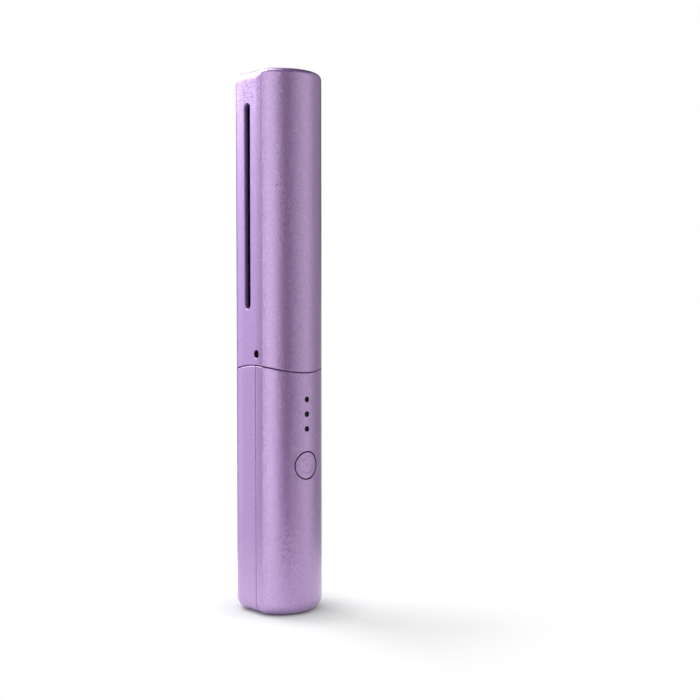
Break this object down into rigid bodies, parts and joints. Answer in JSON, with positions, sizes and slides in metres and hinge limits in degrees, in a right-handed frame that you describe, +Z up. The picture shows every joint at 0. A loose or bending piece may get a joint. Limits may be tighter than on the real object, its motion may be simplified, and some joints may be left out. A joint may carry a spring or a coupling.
{
  "type": "cordless hot comb",
  "caption": "Slim cordless hot comb: round-sided pearl handle with a button and lights, a two-row comb head with heat plates between the rows, and a slotted slide-off cap.",
  "frame": {"origin": "middle of the flat base that the hot comb stands on", "axes": "+Z up the handle to the cap's top, +X out of the button side, -Y the way the teeth point, +Y the comb's spine"},
  "size_m": [0.033, 0.029, 0.205],
  "materials": {
    "pearl_shell": "satin pearl purple, fine metallic grain",
    "plate_black": "black ceramic-coated heat plate",
    "ceramic_white": "matt alumina",
    "amber_film": "thin amber insulating film",
    "screw_steel": "zinc-plated",
    "sensor_black": "glossy black",
    "fuse_metal": "tinned metal can",
    "lead_red": "silicone lead cover",
    "bracket_black": "glass-filled black plastic",
    "cell_wrap": "cell in a teal shrink wrap",
    "nickel_strip": "nickel strip",
    "foam_black": "soft black pad",
    "board_green": "green solder mask",
    "chip_black": "moulded chip packages",
    "socket_steel": "bright pressed steel",
    "led_body": "clear-topped light body",
    "smoked_lens": "dark smoked lens"
  },
  "bodies": {
    "handle": {"handle_rear_shell": "pearl_shell", "handle_front_cover": "pearl_shell", "latch_pegs": "pearl_shell", "comb_shell_plain": "pearl_shell", "comb_shell_button": "pearl_shell", "heat_plate_plain": "plate_black", "heat_plate_button": "plate_black", "ceramic_heater": "ceramic_white", "heater_insulators": "amber_film", "plate_screws": "screw_steel", "temperature_sensor": "sensor_black", "thermal_fuse": "fuse_metal", "heater_leads": "lead_red", "comb_mount_plate": "bracket_black", "comb_mount_screws": "screw_steel", "battery_cell": "cell_wrap", "battery_positive_tab": "nickel_strip", "battery_negative_tab": "nickel_strip", "battery_pads": "foam_black", "main_board": "board_green", "board_chips": "chip_black", "board_screws": "screw_steel", "usb_c_socket": "socket_steel", "switch_body": "socket_steel", "status_leds": "led_body", "light_guide": "smoked_lens"},
    "cap": {"cap": "pearl_shell"},
    "power_button": {"power_button": "pearl_shell"},
    "switch_plunger": {"switch_plunger": "sensor_black"}
  },
  "joints": [
    {"name": "cap_lift", "type": "slide", "parent": "handle", "child": "cap", "axis": [0, 0, 1], "range_m": [0, 0.118]},
    {"name": "button_press", "type": "slide", "parent": "handle", "child": "power_button", "axis": [-1, 0, 0], "range_m": [0, 0.0005], "stiffness_N_per_m": 800},
    {"name": "plunger_press", "type": "slide", "parent": "handle", "child": "switch_plunger", "axis": [-1, 0, 0], "range_m": [0, 0.0005]}
  ],
  "couplings": [
    {"joint": "plunger_press", "follows": "button_press", "ratio": 1}
  ]
}
